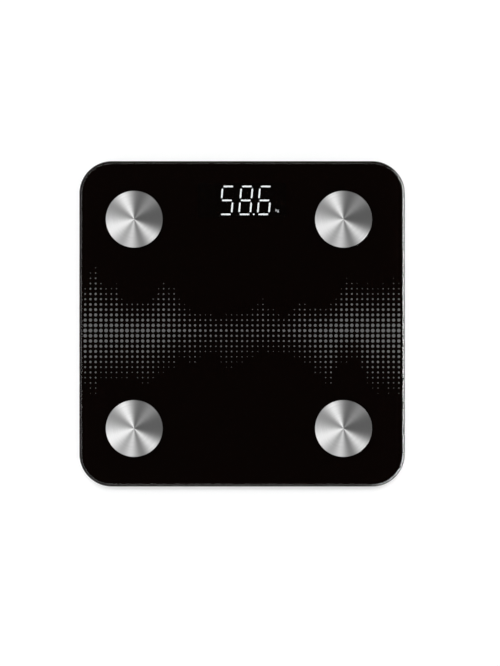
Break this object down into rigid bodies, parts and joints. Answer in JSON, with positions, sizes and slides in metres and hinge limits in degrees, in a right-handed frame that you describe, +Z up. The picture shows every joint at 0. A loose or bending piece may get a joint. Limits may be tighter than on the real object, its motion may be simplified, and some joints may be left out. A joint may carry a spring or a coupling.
{
  "type": "digital bathroom scale",
  "caption": "Square black glass bathroom scale with round steel electrodes, a lit numeral display behind the glass, weighing feet, a battery door and a unit button.",
  "frame": {"origin": "on the floor under the middle of the square platform, at the underside of the foot pads", "axes": "+Z up, +Y towards the display end, +X to the right of a person who faces the display"},
  "size_m": [0.28, 0.28, 0.0256],
  "materials": {
    "clear_glass": "polished tempered glass, seen black over the ink",
    "smoked_film": "smoked film that hides the display until it is lit",
    "black_ink": "black screen print behind the glass, with a grey dot band",
    "brushed_steel": "stainless steel, brushed in circles",
    "plated_steel": "zinc plated",
    "cell_steel": "stamped spring steel",
    "contact_nickel": "nickel plated",
    "foam_tape": "black foam tape",
    "tray_plastic": "black plastic with a fine moulded grain",
    "button_plastic": "grey moulded plastic",
    "foot_plastic": "dark grey moulded plastic",
    "holder_plastic": "white moulded plastic",
    "foot_rubber": "soft black rubber",
    "gauge_seal": "white silicone",
    "board_green": "green circuit board",
    "chip_black": "black moulding compound",
    "socket_white": "white nylon",
    "display_black": "matt black reflector housing",
    "lit_white": "white light guide, lit",
    "unlit_grey": "light guide, unlit",
    "lamp_yellow": "phosphor lamp",
    "battery_sleeve": "plain printed sleeve",
    "lead_grey": "grey flat lead",
    "wire_red": "red insulation"
  },
  "bodies": {
    "base": {"base_tray": "tray_plastic", "battery_1": "battery_sleeve", "battery_2": "battery_sleeve", "battery_3": "battery_sleeve", "battery_bridges": "contact_nickel", "battery_terminals": "contact_nickel", "battery_wires": "wire_red", "black_ink": "black_ink", "board_chips": "chip_black", "board_screws": "plated_steel", "dark_segments": "unlit_grey", "display_board": "board_green", "display_housing": "display_black", "display_ribbon": "lead_grey", "display_screws": "plated_steel", "display_window": "smoked_film", "electrode_front_left": "brushed_steel", "electrode_front_right": "brushed_steel", "electrode_nuts": "plated_steel", "electrode_rear_left": "brushed_steel", "electrode_rear_right": "brushed_steel", "electrode_socket": "socket_white", "electrode_terminals": "plated_steel", "electrode_wires": "wire_red", "glass_platform": "clear_glass", "holder_screws": "plated_steel", "holder_tape_pads": "foam_tape", "lead_sockets": "socket_white", "lit_segments": "lit_white", "load_cell_front_left": "cell_steel", "load_cell_front_right": "cell_steel", "load_cell_holder_front_left": "holder_plastic", "load_cell_holder_front_right": "holder_plastic", "load_cell_holder_rear_left": "holder_plastic", "load_cell_holder_rear_right": "holder_plastic", "load_cell_lead_front_left": "lead_grey", "load_cell_lead_front_right": "lead_grey", "load_cell_lead_rear_left": "lead_grey", "load_cell_lead_rear_right": "lead_grey", "load_cell_rear_left": "cell_steel", "load_cell_rear_right": "cell_steel", "main_board": "board_green", "perimeter_tape": "foam_tape", "push_switch": "chip_black", "segment_lamps": "lamp_yellow", "strain_gauges": "gauge_seal", "wireless_module": "plated_steel"},
    "battery_door": {"battery_door": "tray_plastic"},
    "unit_button": {"unit_button": "button_plastic", "switch_plunger": "chip_black"},
    "foot_front_left": {"foot_carrier_front_left": "foot_plastic", "foot_pad_front_left": "foot_rubber"},
    "foot_front_right": {"foot_carrier_front_right": "foot_plastic", "foot_pad_front_right": "foot_rubber"},
    "foot_rear_left": {"foot_carrier_rear_left": "foot_plastic", "foot_pad_rear_left": "foot_rubber"},
    "foot_rear_right": {"foot_carrier_rear_right": "foot_plastic", "foot_pad_rear_right": "foot_rubber"}
  },
  "joints": [
    {"name": "foot_front_left_press", "type": "slide", "parent": "base", "child": "foot_front_left", "axis": [0, 0, 1], "range_m": [0, 0.0005], "stiffness_N_per_m": 2000, "springref_m": -0.0025, "deforming": ["load_cell_front_left"]},
    {"name": "foot_front_right_press", "type": "slide", "parent": "base", "child": "foot_front_right", "axis": [0, 0, 1], "range_m": [0, 0.0005], "stiffness_N_per_m": 2000, "springref_m": -0.0025, "deforming": ["load_cell_front_right"]},
    {"name": "foot_rear_left_press", "type": "slide", "parent": "base", "child": "foot_rear_left", "axis": [0, 0, 1], "range_m": [0, 0.0005], "stiffness_N_per_m": 2000, "springref_m": -0.0025, "deforming": ["load_cell_rear_left"]},
    {"name": "foot_rear_right_press", "type": "slide", "parent": "base", "child": "foot_rear_right", "axis": [0, 0, 1], "range_m": [0, 0.0005], "stiffness_N_per_m": 2000, "springref_m": -0.0025, "deforming": ["load_cell_rear_right"]},
    {"name": "unit_button_press", "type": "slide", "parent": "base", "child": "unit_button", "axis": [0, 0, 1], "range_m": [0, 0.0005], "stiffness_N_per_m": 4000},
    {"name": "battery_door_hinge", "type": "hinge", "parent": "base", "child": "battery_door", "pos_m": [0, 0.02715, 0.0042], "axis": [-1, 0, 0], "range_deg": [0, 60]}
  ]
}
